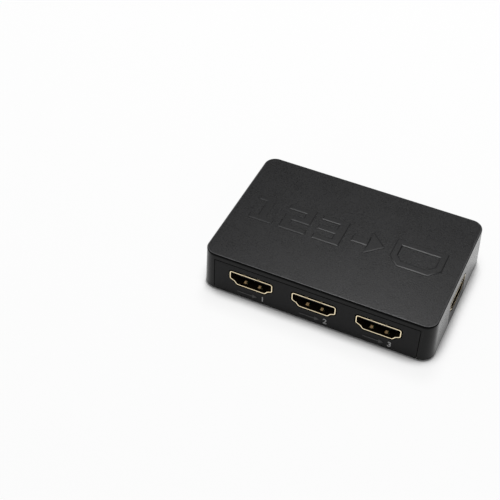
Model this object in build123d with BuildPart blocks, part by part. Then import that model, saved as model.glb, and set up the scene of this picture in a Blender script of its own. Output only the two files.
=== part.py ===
from build123d import *
import os
from math import radians, tan

os.makedirs("parts", exist_ok=True)

# Switch box for three video inputs and one output, with a select button and a remote receiver.
# X runs along the face with the three inputs, that face looks towards -Y, and Z is up from the table.

# Overruns and fits
overrun = 1.0             # how far a cutter reaches past what it cuts
seam = 0.2                # gap round the panels and tabs of the bottom cover
running = 0.1             # radial clearance of the button and the plunger
clearance = 0.25          # gap round a jack, screw, leg or lead in its opening
socket_gap = 0.4          # gap round a video socket in its opening

# Case
case_length = 77.4        # at its lower edge, as are the width and the corner
case_width = 51.7
case_height = 14.4
case_corner = 4.4
case_draft = 2.0          # lean of the walls, in degrees
case_edge = 0.5           # rounding round the roof
wall = 1.6
roof = 1.6
floor = 1.5
panel_margin = 0.1        # straight wall left between a panel and the corner's bend
panel_header = 2.05       # wall left above a panel, roof included
panel_wall = 1.6

# Feet, stuck under the floor
foot_diameter = 8.0
foot_thickness = 0.8
foot_edge = 0.3
foot_inset = 11.5         # from the case's lower edges to a foot's middle

# Case screws: they go up through the floor's bosses and the board into the roof's bosses
screw_inset = 5.5         # from the case's lower edges to a screw's axis
screw_diameter = 2.0
screw_length = 8.0
screw_head_diameter = 3.8
screw_head_height = 1.4
screw_pilot = 1.7
screw_pilot_spare = 1.0
screw_pocket_depth = 1.6
boss_diameter = 5.4

# Circuit board
board_thickness = 1.6
board_setback = 2.0       # from the outer faces, so that the sockets reach through the walls
drop_share = 0.5          # how far legs, leads and pins stand out under the board, of the room there

# Video sockets, drawn with the mouth towards -Y and standing on Z = 0
mouth_width = 14.0
mouth_height = 4.55
mouth_side = 2.75         # straight part of the mouth's sides
mouth_knee = 5.6          # half width where the shoulders bend inwards
mouth_knee_drop = 0.65
mouth_floor = 9.4         # width of the mouth's narrow side
mouth_round = 0.5
mouth_knee_round = 0.9
sheet = 0.3
socket_depth = 11.5
leg_width = 1.4
leg_first = 4.0
leg_second = 10.0
finger_width = 1.1
finger_slot = 0.3
finger_tip = 0.9          # behind the mouth
finger_crown = 2.0
finger_root = 6.0
finger_rise = 0.5
finger_tip_share = 0.35   # of the rise that is left at a finger's tip
floor_finger_x = 2.42
roof_finger_x = 3.4
tongue_width = 11.2
tongue_thickness = 1.2
tongue_below_roof = 1.35
tongue_setback = 1.6
tongue_edge = 0.25
core_depth = 3.4          # solid part of the insulator at the back
core_fit = 0.03
core_tail = 0.8           # how far the insulator stands out of the shell
contact_pitch = 1.0
contact_count = 10
contact_width = 0.3
contact_thickness = 0.15
contact_setback = 0.5     # from the tongue's tip
contact_bend = 0.6

# Where the sockets stand
inputs_x = -0.15          # the middle input, from the case's middle
input_gap_share = 0.385   # one gap between two inputs, of the room that three leave between the bosses
output_y = -1.5

# Behind the far panel: button, lamps and receiver, on one axis halfway between board and roof
button_share = 0.64       # places along half the panel
receiver_share = -0.58
lamp_x = 0.0
lamp_pitch = 6.0
button_diameter = 5.0
button_proud = 0.8
button_edge = 0.4
button_flange_diameter = 6.8
button_flange = 0.8
button_flange_gap = 0.15
button_travel = 0.35
plunger_diameter = 3.4
plunger_proud = 1.0
plunger_depth = 1.6
switch_width = 6.0
switch_depth = 3.6
switch_rise = 2.0         # of its body over the button's axis
bracket_sheet = 0.3
bracket_lug = 1.2
bracket_wrap = 2.2

lamp_diameter = 3.0
lamp_edge = 0.8
lamp_flange_diameter = 3.8
lamp_flange = 1.0
lamp_length = 5.3
lamp_gap = 0.3            # between the lamp's tip and the panel
lamp_hole_diameter = 2.6
lead_width = 0.5
lead_pitch = 2.54
lead_reach = 1.6

receiver_width = 5.6
receiver_height = 6.8
receiver_depth = 2.6
receiver_lens_diameter = 3.6
receiver_lens = 1.8
receiver_lens_edge = 0.9
window_width = 7.0
window_height = 4.0
window_corner = 0.8
window_rim = 0.8
window_rim_depth = 0.7
window_gap = 0.5          # between the window and the receiver's lens

# Jacks on the short face
jack_gap = 0.25           # between a housing and the wall
audio_y = 6.0
audio_width = 6.0
audio_height = 5.0
audio_length = 11.0
audio_bore = 3.6
audio_nose = 5.0
power_y = -5.0
power_width = 6.4
power_height = 6.0
power_length = 9.0
power_bore = 3.6
power_nose = 5.4
power_pin = 1.3
power_pin_setback = 0.8
jack_floor = 1.2          # closed end of a jack's bore
jack_spring = 0.3
jack_spring_width = 1.4
jack_contact_shares = (0.35, 0.75)   # places of the contacts along a housing

# Parts on the board
chip_x = 2.0
chip_y = -2.0
chip_size = 9.0
chip_thickness = 0.9
chip_corner_cut = 0.6
control_gap = 0.5         # between a bulk capacitor and the control chip
control_y = 7.0
control_length = 8.7
control_width = 3.9
control_thickness = 1.5
control_lead_count = 7
control_lead_pitch = 1.27
lead_sheet = 0.15
lead_width_share = 0.35   # width of a chip's lead, of its pitch
lead_stand = 0.1
lead_foot = 0.6
lead_knee = 0.4
regulator_gap = 4.0       # between the power jack and the regulator
regulator_y = -4.0
regulator_length = 6.5
regulator_width = 3.5
regulator_thickness = 1.6
regulator_pitch = 2.3
regulator_lead = 0.7
regulator_tab = 3.0
crystal_gap = 6.0         # between the control chip and the crystal
crystal_y = 7.6
crystal_length = 11.0
crystal_width = 4.6
crystal_height = 3.2
crystal_base = 0.4
crystal_rim = 0.3
can_diameter = 5.0
can_height = 5.4
can_base = 5.3
can_base_height = 0.8
can_base_cut = 1.0
can_edge = 0.4
can_gap = 2.4             # between the audio jack and the bulk capacitors
can_first_y = 2.6
can_pitch = 6.4
small_length = 1.6
small_width = 0.8
capacitor_height = 0.8
resistor_height = 0.45
capacitor_column_x = 9.6
capacitor_pitch_x = 2.6
capacitor_pitch_y = 2.2
resistor_row_x = -6.6
resistor_pitch_x = 1.6
resistor_pitch_y = 3.2
small_row_y = -2.0

# Levels and faces worked out from the sizes above; the inputs' mouths are halfway up the case
base_z = foot_thickness
roof_z = base_z + case_height
ceiling_z = roof_z - roof
floor_z = base_z + floor
socket_top = sheet + mouth_height
socket_side = socket_top - mouth_side
socket_half = mouth_width / 2 + sheet
mouth_z = base_z + case_height / 2
board_z = mouth_z - (socket_top - mouth_height / 2)
board_under_z = board_z - board_thickness
drop_z = board_under_z - drop_share * (board_under_z - floor_z)
socket_z = board_z + socket_side
axis_z = (board_z + ceiling_z) / 2
panel_window = case_length - 2 * (case_corner + panel_margin)
panel_window_z = roof_z - panel_header
lean = tan(radians(case_draft))


def inset(height):
    """How far the leaning walls have come in at a height above the table."""
    return (height - base_z) * lean


def long_face(height):
    """Distance of the long outer faces from the middle at a height."""
    return case_width / 2 - inset(height)


def short_face(height):
    """Distance of the short outer faces from the middle at a height."""
    return case_length / 2 - inset(height)


screw_span_x = case_length - 2 * screw_inset
screw_span_y = case_width - 2 * screw_inset
foot_span_x = case_length - 2 * foot_inset
foot_span_y = case_width - 2 * foot_inset
input_room = screw_span_x - boss_diameter - 6 * socket_half
input_pitch = 2 * socket_half + input_gap_share * input_room
socket_places = {
    "input_1": Location((inputs_x - input_pitch, -long_face(mouth_z), board_z)),
    "input_2": Location((inputs_x, -long_face(mouth_z), board_z)),
    "input_3": Location((inputs_x + input_pitch, -long_face(mouth_z), board_z)),
    "output": Location((short_face(mouth_z), output_y, board_z), (0, 0, 90)),
}
places = list(socket_places.values())
board_length = 2 * (short_face(board_z) - board_setback)
board_width = 2 * (long_face(board_z) - board_setback)
button_x = button_share * panel_window / 2
receiver_x = receiver_share * panel_window / 2
jacks = {
    "audio_jack": (audio_y, audio_width, audio_height, audio_length, audio_bore, audio_nose),
    "power_jack": (power_y, power_width, power_height, power_length, power_bore, power_nose),
}
housing_x = short_face(board_z + max(audio_height, power_height)) - wall - jack_gap


def jack_pin_places(jack):
    """Where the spring contacts of a jack go down through the board."""
    jack_y, jack_width, jack_height, jack_length, jack_bore, jack_nose = jack
    half = (jack_width + jack_spring) / 2
    return [
        (-housing_x + share * jack_length, jack_y + side * half)
        for share in jack_contact_shares
        for side in (-1, 1)
    ]


def mouth_face(grow, plane=Plane.XZ):
    """Outline of a video socket's mouth, grown by `grow`, on a plane that looks out of the mouth."""
    right = [
        (mouth_width / 2, socket_top),
        (mouth_width / 2, socket_side),
        (mouth_knee, socket_side - mouth_knee_drop),
        (mouth_floor / 2, sheet),
    ]
    left = [(-x, z) for x, z in reversed(right)]
    rounds = [mouth_round, mouth_round, mouth_knee_round, mouth_round]
    with BuildSketch(plane) as outline:
        with BuildLine():
            FilletPolyline(*right, *left, radius=rounds + rounds[::-1], close=True)
        make_face()
        if grow:
            offset(amount=grow)
    return outline.sketch


def write(part, name):
    """Labels a finished piece and writes it."""
    part.label = name
    export_step(part, f"parts/{name}.step")


# Cutter for the opening round a socket, in the socket's own frame
with BuildPart() as socket_opening:
    extrude(mouth_face(sheet + socket_gap), amount=overrun + clearance)
    extrude(mouth_face(sheet + socket_gap), amount=-(wall + clearance + overrun))

# Top cover: roof and walls
with BuildPart() as top_cover:
    with BuildSketch(Plane.XY.offset(base_z)):
        RectangleRounded(case_length, case_width, case_corner)
    extrude(amount=case_height, taper=case_draft)
    fillet(top_cover.faces().sort_by(Axis.Z)[-1].edges(), case_edge)
    with BuildSketch(Plane.XY.offset(base_z)):
        RectangleRounded(case_length - 2 * wall, case_width - 2 * wall, case_corner - wall)
    extrude(amount=case_height - roof, taper=case_draft, mode=Mode.SUBTRACT)
    # windows for the panels in the long walls
    with BuildSketch(Plane.XZ):
        with Locations((0, base_z)):
            Rectangle(panel_window, panel_window_z - base_z, align=(Align.CENTER, Align.MIN))
    extrude(amount=case_width, both=True, mode=Mode.SUBTRACT)
    # opening of the output and the slot that lets the cover drop over it
    with Locations(socket_places["output"]):
        add(socket_opening.part, mode=Mode.SUBTRACT)
    with BuildSketch(Plane.YZ.offset(case_length / 2 - wall - overrun)):
        with Locations((output_y, base_z)):
            Rectangle(2 * (socket_half + socket_gap), socket_z - base_z, align=(Align.CENTER, Align.MIN))
    extrude(amount=wall + 2 * overrun, mode=Mode.SUBTRACT)
    # the same for the round noses of the two jacks
    with BuildSketch(Plane.YZ.offset(-case_length / 2 - overrun)):
        for jack_y, jack_width, jack_height, jack_length, jack_bore, jack_nose in jacks.values():
            nose_z = board_z + jack_height / 2
            with Locations((jack_y, nose_z)):
                Circle(jack_nose / 2 + clearance)
            with Locations((jack_y, base_z)):
                Rectangle(jack_nose + 2 * clearance, nose_z - base_z, align=(Align.CENTER, Align.MIN))
    extrude(amount=wall + 2 * overrun, mode=Mode.SUBTRACT)
    # bosses that the screws bite into, standing on the board
    with BuildSketch(Plane.XY.offset(board_z)):
        with GridLocations(screw_span_x, screw_span_y, 2, 2):
            Circle(boss_diameter / 2)
    extrude(amount=ceiling_z - board_z)
    pilot_end_z = base_z + screw_pocket_depth + screw_length + screw_pilot_spare
    with BuildSketch(Plane.XY.offset(board_z)):
        with GridLocations(screw_span_x, screw_span_y, 2, 2):
            Circle(screw_pilot / 2)
    extrude(amount=pilot_end_z - board_z, mode=Mode.SUBTRACT)
write(top_cover.part, "top_cover")

# Bottom cover: floor, the two panels that fill the long walls, and tabs under the side openings
with BuildPart() as bottom_cover:
    with BuildSketch(Plane.XY.offset(base_z)):
        RectangleRounded(
            case_length - 2 * (wall + seam), case_width - 2 * (wall + seam), case_corner - wall - seam
        )
        Rectangle(panel_window - 2 * seam, case_width)
        with Locations((case_length / 2, output_y)):
            Rectangle(2 * (wall + overrun), 2 * (socket_half + socket_gap - seam))
        for jack_y, jack_width, jack_height, jack_length, jack_bore, jack_nose in jacks.values():
            with Locations((-case_length / 2, jack_y)):
                Rectangle(2 * (wall + overrun), jack_nose + 2 * (clearance - seam))
    extrude(amount=floor)
    with BuildSketch(Plane.YZ) as panel_profile:
        for side in (-1, 1):
            with BuildLine():
                Polyline(
                    (side * case_width / 2, base_z),
                    (side * (case_width / 2 - panel_wall), base_z),
                    (side * (long_face(panel_window_z - seam) - panel_wall), panel_window_z - seam),
                    (side * case_width / 2, panel_window_z - seam),
                    close=True,
                )
            make_face()
    extrude(amount=panel_window / 2 - seam, both=True)
    with BuildSketch(Plane.YZ.offset(case_length / 2 - wall)):
        with Locations((output_y, base_z)):
            Rectangle(
                2 * (socket_half + socket_gap - seam), socket_z - base_z, align=(Align.CENTER, Align.MIN)
            )
    extrude(amount=wall + overrun)
    with BuildSketch(Plane.YZ.offset(-case_length / 2 - overrun)):
        for jack_y, jack_width, jack_height, jack_length, jack_bore, jack_nose in jacks.values():
            with Locations((jack_y, base_z)):
                tab_height = board_z + jack_height / 2 - base_z
                Rectangle(jack_nose + 2 * (clearance - seam), tab_height, align=(Align.CENTER, Align.MIN))
    extrude(amount=wall + overrun)
    # trimmed to the case's leaning faces
    with BuildSketch(Plane.XY.offset(base_z)):
        RectangleRounded(case_length, case_width, case_corner)
    extrude(amount=case_height, taper=case_draft, mode=Mode.INTERSECT)
    # bosses that carry the board
    with BuildSketch(Plane.XY.offset(floor_z)):
        with GridLocations(screw_span_x, screw_span_y, 2, 2):
            Circle(boss_diameter / 2)
    extrude(amount=board_under_z - floor_z)
    # openings of the inputs, the output and the jacks
    with Locations(*places):
        add(socket_opening.part, mode=Mode.SUBTRACT)
    with BuildSketch(Plane.YZ.offset(-case_length / 2 - overrun)):
        for jack_y, jack_width, jack_height, jack_length, jack_bore, jack_nose in jacks.values():
            with Locations((jack_y, board_z + jack_height / 2)):
                Circle(jack_nose / 2 + clearance)
    extrude(amount=wall + 2 * overrun, mode=Mode.SUBTRACT)
    # button hole, lamp holes and receiver window in the far panel
    with BuildSketch(Plane.XZ.offset(-case_width / 2 - overrun)):
        with Locations((button_x, axis_z)):
            Circle(button_diameter / 2 + running)
        with Locations((lamp_x, axis_z)):
            with GridLocations(lamp_pitch, 0, 3, 1):
                Circle(lamp_hole_diameter / 2)
        with Locations((receiver_x, axis_z)):
            RectangleRounded(window_width, window_height, window_corner)
    extrude(amount=panel_wall + inset(roof_z) + 2 * overrun, mode=Mode.SUBTRACT)
    # pockets for the screw heads in the underside, and holes up through the bosses
    with BuildSketch(Plane.XY.offset(base_z)):
        with GridLocations(screw_span_x, screw_span_y, 2, 2):
            Circle(screw_head_diameter / 2 + clearance)
    extrude(amount=screw_pocket_depth, mode=Mode.SUBTRACT)
    with BuildSketch(Plane.XY.offset(base_z)):
        with GridLocations(screw_span_x, screw_span_y, 2, 2):
            Circle(screw_diameter / 2 + clearance)
    extrude(amount=board_under_z - base_z, mode=Mode.SUBTRACT)
write(bottom_cover.part, "bottom_cover")

# Rubber feet
with BuildPart() as foot:
    Cylinder(foot_diameter / 2, foot_thickness, align=(Align.CENTER, Align.CENTER, Align.MIN))
    chamfer(foot.edges().sort_by(Axis.Z)[0], foot_edge)
foot_number = 0
for foot_y in (-foot_span_y / 2, foot_span_y / 2):
    for foot_x in (-foot_span_x / 2, foot_span_x / 2):
        foot_number += 1
        write(foot.part.moved(Location((foot_x, foot_y, 0))), f"foot_{foot_number}")

# Case screws, heads down
head_z = base_z + screw_pocket_depth
with BuildPart() as case_screws:
    with BuildSketch(Plane.XY.offset(head_z - screw_head_height)):
        with GridLocations(screw_span_x, screw_span_y, 2, 2):
            Circle(screw_head_diameter / 2)
    extrude(amount=screw_head_height)
    with BuildSketch(Plane.XY.offset(head_z)):
        with GridLocations(screw_span_x, screw_span_y, 2, 2):
            Circle(screw_diameter / 2)
    extrude(amount=screw_length)
write(case_screws.part, "case_screws")

# Circuit board
leg_x = mouth_width / 2 + sheet / 2
leg_places = [(side * leg_x, along) for side in (-1, 1) for along in (leg_first, leg_second)]
button_face = long_face(axis_z) - panel_wall
flange_face = long_face(axis_z + button_flange_diameter / 2) - panel_wall - button_flange_gap
plunger_face = flange_face - button_flange
switch_face = plunger_face - plunger_proud
lamp_tip = button_face - lamp_gap - inset(axis_z + lamp_diameter / 2) + inset(axis_z)
lead_y = lamp_tip - lamp_length - lead_reach
receiver_face = button_face - window_rim_depth - window_gap - receiver_lens
receiver_lead_y = receiver_face - receiver_depth / 2
lamp_places = [(lamp_x + step * lamp_pitch, axis_z) for step in (1, 0, -1)]
lug_x = (switch_width + bracket_sheet) / 2

with BuildPart() as circuit_board:
    with BuildSketch(Plane.XY.offset(board_under_z)):
        RectangleRounded(board_length, board_width, case_corner - board_setback)
        with GridLocations(screw_span_x, screw_span_y, 2, 2):
            Circle(screw_diameter / 2 + clearance, mode=Mode.SUBTRACT)
        # holes for the legs of the sockets
        for place in places:
            with Locations(Location(tuple(place.position)[:2] + (0,), place.orientation)):
                with Locations(*leg_places):
                    Rectangle(sheet + 2 * clearance, leg_width + 2 * clearance, mode=Mode.SUBTRACT)
        # holes for the leads of the lamps and the receiver, and for the lugs of the switch
        for lamp_place in lamp_places:
            with Locations((lamp_place[0], lead_y)):
                with GridLocations(lead_pitch, 0, 2, 1):
                    Rectangle(lead_width + 2 * clearance, lead_width + 2 * clearance, mode=Mode.SUBTRACT)
        with Locations((receiver_x, receiver_lead_y)):
            with GridLocations(lead_pitch, 0, 3, 1):
                Rectangle(lead_width + 2 * clearance, lead_width + 2 * clearance, mode=Mode.SUBTRACT)
        with Locations((button_x, switch_face - switch_depth / 2)):
            with GridLocations(2 * lug_x, 0, 2, 1):
                Rectangle(bracket_sheet + 2 * clearance, bracket_lug + 2 * clearance, mode=Mode.SUBTRACT)
        # holes for the contacts of the jacks
        for jack in jacks.values():
            with Locations(*jack_pin_places(jack)):
                Rectangle(
                    jack_spring_width + 2 * clearance, jack_spring + 2 * clearance, mode=Mode.SUBTRACT
                )
    extrude(amount=board_thickness)
write(circuit_board.part, "circuit_board")

# Shell of a video socket: a folded tube with four spring fingers and four legs
with BuildPart() as socket_shell:
    extrude(mouth_face(sheet), amount=-socket_depth)
    extrude(mouth_face(0), amount=-socket_depth, mode=Mode.SUBTRACT)
    # windows that the fingers are cut free in, then the fingers
    finger_window = finger_width + 2 * finger_slot
    window_length = finger_root - finger_tip + finger_slot
    for level, offset_x in ((sheet / 2, floor_finger_x), (socket_top + sheet / 2, roof_finger_x)):
        with Locations((0, finger_root - window_length / 2, level)):
            with GridLocations(2 * offset_x, 0, 2, 1):
                Box(finger_window, window_length, 2 * sheet, mode=Mode.SUBTRACT)
    for level, offset_x, rise in (
        (sheet / 2, floor_finger_x, finger_rise),
        (socket_top + sheet / 2, roof_finger_x, -finger_rise),
    ):
        for side in (-1, 1):
            with BuildSketch(Plane.YZ.offset(side * offset_x)):
                with BuildLine():
                    Polyline(
                        (finger_root + finger_slot, level),
                        (finger_root, level),
                        (finger_crown, level + rise),
                        (finger_tip, level + rise * finger_tip_share),
                    )
                trace(line_width=sheet)
            extrude(amount=finger_width / 2, both=True)
    # legs down through the board
    with BuildSketch(Plane.XY.offset(drop_z - board_z)):
        with Locations(*leg_places):
            Rectangle(sheet, leg_width)
    extrude(amount=board_z - drop_z + socket_side + mouth_round)

# Contacts of a video socket: two staggered rows, moulded into the insulator
tongue_z = socket_top - tongue_below_roof - tongue_thickness / 2
core_back = socket_depth + core_tail


def contact(row_z, row_back):
    """One contact: along the tongue, out of the insulator's back and down to the board."""
    with BuildPart() as strip:
        with BuildSketch(Plane.YZ):
            with BuildLine():
                Polyline((tongue_setback + contact_setback, row_z), (row_back, row_z), (row_back, 0))
            trace(line_width=contact_thickness)
        extrude(amount=contact_width / 2, both=True)
    return strip.part


row_rise = (tongue_thickness + contact_thickness) / 2
upper_contact = contact(tongue_z + row_rise, core_back + 2 * contact_bend)
lower_contact = contact(tongue_z - row_rise, core_back + contact_bend)
with BuildPart() as socket_contacts:
    with GridLocations(contact_pitch, 0, contact_count, 1):
        add(upper_contact)
    with GridLocations(contact_pitch, 0, contact_count - 1, 1):
        add(lower_contact)

# Insulator of a video socket: a core that closes the shell's back, and the tongue
with BuildPart() as socket_insulator:
    with BuildSketch(Plane.XZ.offset(-(socket_depth - core_depth))):
        add(mouth_face(-core_fit, Plane.XY))
    extrude(amount=-(core_depth + core_tail))
    with BuildSketch(Plane.XZ.offset(-tongue_setback)):
        with Locations((0, tongue_z)):
            Rectangle(tongue_width, tongue_thickness)
    extrude(amount=-(socket_depth - core_depth - tongue_setback))
    tip_edges = socket_insulator.faces().sort_by(Axis.Y)[0].edges().filter_by(Axis.X)
    chamfer(tip_edges, tongue_edge)

for name, place in socket_places.items():
    write(socket_shell.part.moved(place), f"{name}_shell")
    write(socket_contacts.part.moved(place), f"{name}_contacts")
    write(socket_insulator.part.moved(place), f"{name}_insulator")

# Select button and the plunger that it pushes
with BuildPart() as select_button:
    with BuildSketch(Plane.XZ.offset(-(flange_face - button_flange))):
        with Locations((button_x, axis_z)):
            Circle(button_flange_diameter / 2)
    extrude(amount=-button_flange)
    with BuildSketch(Plane.XZ.offset(-flange_face)):
        with Locations((button_x, axis_z)):
            Circle(button_diameter / 2)
    extrude(amount=-(long_face(axis_z) + button_proud - flange_face))
    chamfer(select_button.edges().sort_by(Axis.Y)[-1], button_edge)
write(select_button.part, "select_button")

with BuildPart() as switch_plunger:
    with BuildSketch(Plane.XZ.offset(-plunger_face)):
        with Locations((button_x, axis_z)):
            Circle(plunger_diameter / 2)
    extrude(amount=plunger_proud + plunger_depth)
write(switch_plunger.part, "switch_plunger")

# Body of the push switch, standing on the board
with BuildPart() as switch_body:
    with BuildSketch(Plane.XY.offset(board_z)):
        with Locations((button_x, switch_face - switch_depth / 2)):
            Rectangle(switch_width, switch_depth)
    extrude(amount=axis_z + switch_rise - board_z)
    with BuildSketch(Plane.XZ.offset(-switch_face)):
        with Locations((button_x, axis_z)):
            Circle(plunger_diameter / 2 + running)
    extrude(amount=plunger_depth + button_travel + running, mode=Mode.SUBTRACT)
write(switch_body.part, "switch_body")

# Bracket bent round the switch, with two lugs through the board
with BuildPart() as switch_bracket:
    with BuildSketch(Plane.XZ.offset(-(switch_face - switch_depth / 2 + bracket_wrap / 2))) as hoop:
        with BuildLine():
            Polyline(
                (button_x - lug_x, board_z),
                (button_x - lug_x, axis_z + switch_rise + bracket_sheet / 2),
                (button_x + lug_x, axis_z + switch_rise + bracket_sheet / 2),
                (button_x + lug_x, board_z),
            )
        trace(line_width=bracket_sheet)
    extrude(amount=bracket_wrap)
    with BuildSketch(Plane.XY.offset(drop_z)):
        with Locations((button_x, switch_face - switch_depth / 2)):
            with GridLocations(2 * lug_x, 0, 2, 1):
                Rectangle(bracket_sheet, bracket_lug)
    extrude(amount=board_z + bracket_lug - drop_z)
write(switch_bracket.part, "switch_bracket")

# Indicator lamps behind their holes, and their bent leads
with BuildPart() as lamp:
    with BuildSketch(Plane.YZ):
        with BuildLine():
            Polyline(
                (lamp_tip, 0),
                (lamp_tip, lamp_diameter / 2 - lamp_edge),
                (lamp_tip - lamp_edge, lamp_diameter / 2),
                (lamp_tip - lamp_length + lamp_flange, lamp_diameter / 2),
                (lamp_tip - lamp_length + lamp_flange, lamp_flange_diameter / 2),
                (lamp_tip - lamp_length, lamp_flange_diameter / 2),
                (lamp_tip - lamp_length, 0),
                close=True,
            )
        make_face()
    revolve(axis=Axis.Y)
for number, (x, z) in enumerate(lamp_places, 1):
    write(lamp.part.moved(Location((x, 0, z))), f"lamp_{number}")

with BuildPart() as lamp_lead:
    with BuildSketch(Plane.YZ):
        with BuildLine():
            Polyline((lamp_tip - lamp_length, axis_z), (lead_y, axis_z), (lead_y, drop_z))
        trace(line_width=lead_width)
    extrude(amount=lead_width / 2, both=True)
with BuildPart() as lamp_leads:
    with Locations((lamp_x, 0, 0)):
        with GridLocations(lamp_pitch, 0, 3, 1):
            with GridLocations(lead_pitch, 0, 2, 1):
                add(lamp_lead.part)
write(lamp_leads.part, "lamp_leads")

# Infrared receiver, its leads and its window
with BuildPart() as receiver:
    with BuildSketch(Plane.XZ.offset(-(receiver_face - receiver_depth))):
        with Locations((receiver_x, axis_z)):
            Rectangle(receiver_width, receiver_height)
    extrude(amount=-receiver_depth)
    with BuildSketch(Plane.XZ.offset(-receiver_face)):
        with Locations((receiver_x, axis_z)):
            Circle(receiver_lens_diameter / 2)
    extrude(amount=-receiver_lens)
    chamfer(receiver.edges().sort_by(Axis.Y)[-1], receiver_lens_edge)
write(receiver.part, "receiver")

with BuildPart() as receiver_leads:
    with BuildSketch(Plane.XY.offset(drop_z)):
        with Locations((receiver_x, receiver_lead_y)):
            with GridLocations(lead_pitch, 0, 3, 1):
                Rectangle(lead_width, lead_width)
    extrude(amount=axis_z - receiver_height / 2 - drop_z)
write(receiver_leads.part, "receiver_leads")

with BuildPart() as receiver_window:
    window_front = long_face(axis_z + window_height / 2)
    window_back = button_face - inset(axis_z + window_height / 2 + window_rim) + inset(axis_z)
    with BuildSketch(Plane.XZ.offset(-window_front)):
        with Locations((receiver_x, axis_z)):
            RectangleRounded(
                window_width - 2 * running, window_height - 2 * running, window_corner - running
            )
    extrude(amount=window_front - window_back)
    with BuildSketch(Plane.XZ.offset(-window_back)):
        with Locations((receiver_x, axis_z)):
            RectangleRounded(window_width + 2 * window_rim, window_height + 2 * window_rim, window_corner)
    extrude(amount=window_rim_depth)
write(receiver_window.part, "receiver_window")

# Jacks on the far short face: housing with a round nose in the wall
for name, (jack_y, jack_width, jack_height, jack_length, jack_bore, jack_nose) in jacks.items():
    nose_z = board_z + jack_height / 2
    with BuildPart() as housing:
        with BuildSketch(Plane.XY.offset(board_z)):
            with Locations((-housing_x, jack_y)):
                Rectangle(jack_length, jack_width, align=(Align.MIN, Align.CENTER))
        extrude(amount=jack_height)
        with BuildSketch(Plane.YZ.offset(-short_face(nose_z))):
            with Locations((jack_y, nose_z)):
                Circle(jack_nose / 2)
        extrude(amount=short_face(nose_z) - housing_x)
        with BuildSketch(Plane.YZ.offset(-short_face(nose_z))):
            with Locations((jack_y, nose_z)):
                Circle(jack_bore / 2)
        extrude(amount=short_face(nose_z) - housing_x + jack_length - jack_floor, mode=Mode.SUBTRACT)
    write(housing.part, f"{name}_housing")
    with BuildPart() as spring_contacts:
        with BuildSketch(Plane.XY.offset(drop_z)):
            with Locations(*jack_pin_places(jacks[name])):
                Rectangle(jack_spring_width, jack_spring)
        extrude(amount=nose_z - drop_z)
    write(spring_contacts.part, f"{name}_contacts")

with BuildPart() as power_jack_pin:
    pin_z = board_z + power_height / 2
    with BuildSketch(Plane.YZ.offset(-short_face(pin_z) + power_pin_setback)):
        with Locations((power_y, pin_z)):
            Circle(power_pin / 2)
    extrude(amount=short_face(pin_z) - power_pin_setback - housing_x + power_length - jack_floor)
write(power_jack_pin.part, "power_jack_pin")


def chip_lead(body_half, thickness, width):
    """One bent lead of a chip, leaving its side at half height."""
    with BuildPart() as lead:
        with BuildSketch(Plane.XZ):
            with BuildLine():
                Polyline(
                    (body_half, thickness / 2),
                    (body_half + lead_knee, thickness / 2),
                    (body_half + lead_knee, lead_sheet / 2),
                    (body_half + lead_knee + lead_foot, lead_sheet / 2),
                )
            trace(line_width=lead_sheet)
        extrude(amount=width / 2, both=True)
    return lead.part


# Switch chip: a flat leadless body with one cut corner
with BuildPart() as switch_chip:
    with BuildSketch(Plane.XY) as chip_outline:
        Rectangle(chip_size, chip_size)
        chamfer(chip_outline.vertices().sort_by(Axis.X).sort_by(Axis.Y)[0], chip_corner_cut)
    extrude(amount=chip_thickness)
write(switch_chip.part.moved(Location((chip_x, chip_y, board_z))), "switch_chip")

# Control chip: two rows of bent leads
can_x = -housing_x + audio_length + can_gap + can_base / 2
control_x = can_x + can_base / 2 + control_gap + control_length / 2
control_lead = chip_lead(control_width / 2, control_thickness, control_lead_pitch * lead_width_share)
with BuildPart() as control_chip:
    with BuildSketch(Plane.XY.offset(lead_stand)):
        Rectangle(control_length, control_width)
    extrude(amount=control_thickness - lead_stand)
    with PolarLocations(0, 2, start_angle=90):
        with GridLocations(0, control_lead_pitch, 1, control_lead_count):
            add(control_lead)
write(control_chip.part.moved(Location((control_x, control_y, board_z))), "control_chip")

# Voltage regulator: three legs on one side and a wide tab on the other
regulator_x = -housing_x + power_length + regulator_gap + regulator_length / 2
regulator_leg = chip_lead(regulator_width / 2, regulator_thickness, regulator_lead)
regulator_wing = chip_lead(regulator_width / 2, regulator_thickness, regulator_tab)
with BuildPart() as regulator:
    with BuildSketch(Plane.XY.offset(lead_stand)):
        Rectangle(regulator_length, regulator_width)
    extrude(amount=regulator_thickness - lead_stand)
    with Locations(Location((0, 0, 0), (0, 0, -90))):
        with GridLocations(0, regulator_pitch, 1, 3):
            add(regulator_leg)
    with Locations(Location((0, 0, 0), (0, 0, 90))):
        add(regulator_wing)
write(regulator.part.moved(Location((regulator_x, regulator_y, board_z))), "regulator")

# Crystal in its drawn metal can
crystal_x = control_x + control_length / 2 + crystal_gap + crystal_length / 2
with BuildPart() as crystal:
    with BuildSketch(Plane.XY):
        SlotOverall(crystal_length, crystal_width)
    extrude(amount=crystal_base)
    with BuildSketch(Plane.XY):
        SlotOverall(crystal_length - 2 * crystal_rim, crystal_width - 2 * crystal_rim)
    extrude(amount=crystal_height)
write(crystal.part.moved(Location((crystal_x, crystal_y, board_z))), "crystal")

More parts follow.
